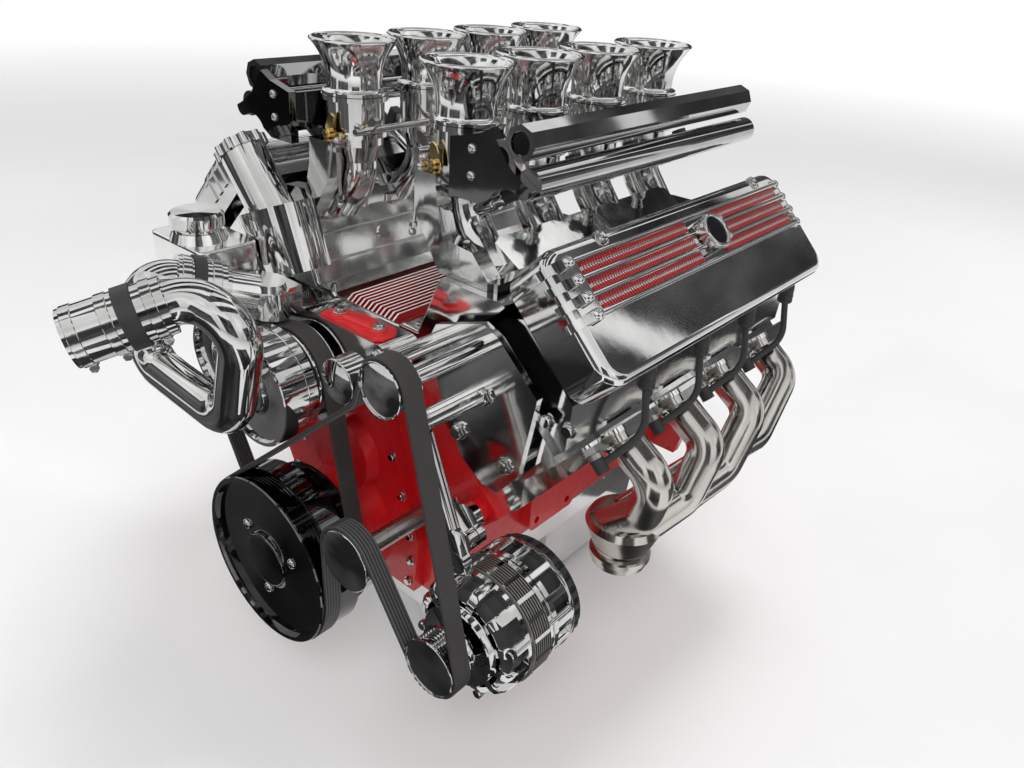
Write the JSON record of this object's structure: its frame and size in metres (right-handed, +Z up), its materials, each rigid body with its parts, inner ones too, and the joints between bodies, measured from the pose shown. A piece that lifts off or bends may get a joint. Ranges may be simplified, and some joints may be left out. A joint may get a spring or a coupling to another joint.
{
  "type": "v8 engine",
  "caption": "Dressed V8 car engine with a trumpet over every cylinder, belt-driven accessories, finned coil covers and tubular exhaust headers.",
  "frame": {"origin": "the crankshaft's centreline at the block's flywheel face, where a bellhousing bolts on", "axes": "+Y from the belt end to the flywheel end along the crankshaft, +Z up, +X to the car's driver's side"},
  "size_m": [0.7196, 0.8209, 0.7597],
  "materials": {
    "red_paint": "gloss",
    "polished": "mirror polished",
    "chrome": "mirror",
    "black_chrome": "dark mirror",
    "black_gloss": "gloss black",
    "black_plastic": "satin",
    "rubber": "satin",
    "brass": "polished",
    "steel": "machined",
    "stator": "laminated, varnished"
  },
  "bodies": {
    "engine": {"engine_block": "red_paint", "oil_pan": "polished", "timing_cover": "red_paint", "cylinder_head_left": "polished", "cylinder_head_right": "polished", "valve_cover_left": "polished", "valve_cover_right": "polished", "coil_packs_left": "black_plastic", "coil_packs_right": "black_plastic", "coil_cover_left": "polished", "coil_cover_right": "polished", "coil_cover_inlays": "red_paint", "medallions": "black_gloss", "intake_base": "polished", "valley_ribs": "polished", "intake_runners_left": "polished", "intake_runners_right": "polished", "throttle_bodies_left": "polished", "throttle_bodies_right": "polished", "throttle_plates": "brass", "velocity_stacks_left": "polished", "velocity_stacks_right": "polished", "fuel_rails_left": "polished", "fuel_rails_right": "polished", "rail_plates": "black_chrome", "injectors": "black_plastic", "throttle_linkage": "brass", "header_left": "chrome", "header_right": "chrome", "spark_plugs": "steel", "plug_leads_left": "rubber", "plug_leads_right": "rubber", "front_belt": "rubber", "rear_belt": "rubber", "water_pump": "polished", "radiator_pipe": "chrome", "pipe_sleeves": "chrome", "pipe_bands": "rubber", "steering_pump": "polished", "reservoir_cap": "chrome", "filler_housing": "chrome", "filler_cap": "chrome", "alternator_case": "chrome", "alternator_stator": "stator", "pulley_bracket": "polished", "alternator_bracket": "polished", "adjuster_rod": "chrome", "idler_shaft": "steel"},
    "crank": {"crank_pulley": "black_gloss", "crank_flange": "steel"},
    "pump_wheel": {"pump_pulley": "polished"},
    "steering_wheel": {"steering_pulley": "polished"},
    "lower_idler_wheel": {"lower_idler": "polished"},
    "alternator_wheel": {"alternator_pulley": "polished"},
    "top_wheel": {"top_pulley": "polished"},
    "upper_idler_wheel": {"upper_idler": "polished"}
  },
  "joints": [
    {"name": "crank_spin", "type": "hinge", "parent": "engine", "child": "crank", "pos_m": [0, -0.3, 0], "axis": [0, 1, 0], "continuous": true},
    {"name": "pump_spin", "type": "hinge", "parent": "engine", "child": "pump_wheel", "pos_m": [0, -0.6, 0.222], "axis": [0, 1, 0], "continuous": true},
    {"name": "steering_spin", "type": "hinge", "parent": "engine", "child": "steering_wheel", "pos_m": [-0.14, -0.6, 0.19], "axis": [0, 1, 0], "continuous": true},
    {"name": "lower_idler_spin", "type": "hinge", "parent": "engine", "child": "lower_idler_wheel", "pos_m": [0.13998, -0.6, 0.08103], "axis": [0, 1, 0], "continuous": true},
    {"name": "alternator_spin", "type": "hinge", "parent": "engine", "child": "alternator_wheel", "pos_m": [0.26496, -0.6, 0.02501], "axis": [0, 1, 0], "continuous": true},
    {"name": "top_spin", "type": "hinge", "parent": "engine", "child": "top_wheel", "pos_m": [0.19997, -0.6, 0.30601], "axis": [0, 1, 0], "continuous": true},
    {"name": "upper_idler_spin", "type": "hinge", "parent": "engine", "child": "upper_idler_wheel", "pos_m": [0.14097, -0.6, 0.29002], "axis": [0, 1, 0], "continuous": true}
  ],
  "couplings": [
    {"joint": "pump_spin", "follows": "crank_spin", "ratio": 1.7217},
    {"joint": "steering_spin", "follows": "crank_spin", "ratio": 1.6587},
    {"joint": "lower_idler_spin", "follows": "crank_spin", "ratio": -2.753},
    {"joint": "alternator_spin", "follows": "crank_spin", "ratio": 3.1746},
    {"joint": "top_spin", "follows": "crank_spin", "ratio": 3.8893},
    {"joint": "upper_idler_spin", "follows": "crank_spin", "ratio": -4.2049}
  ]
}
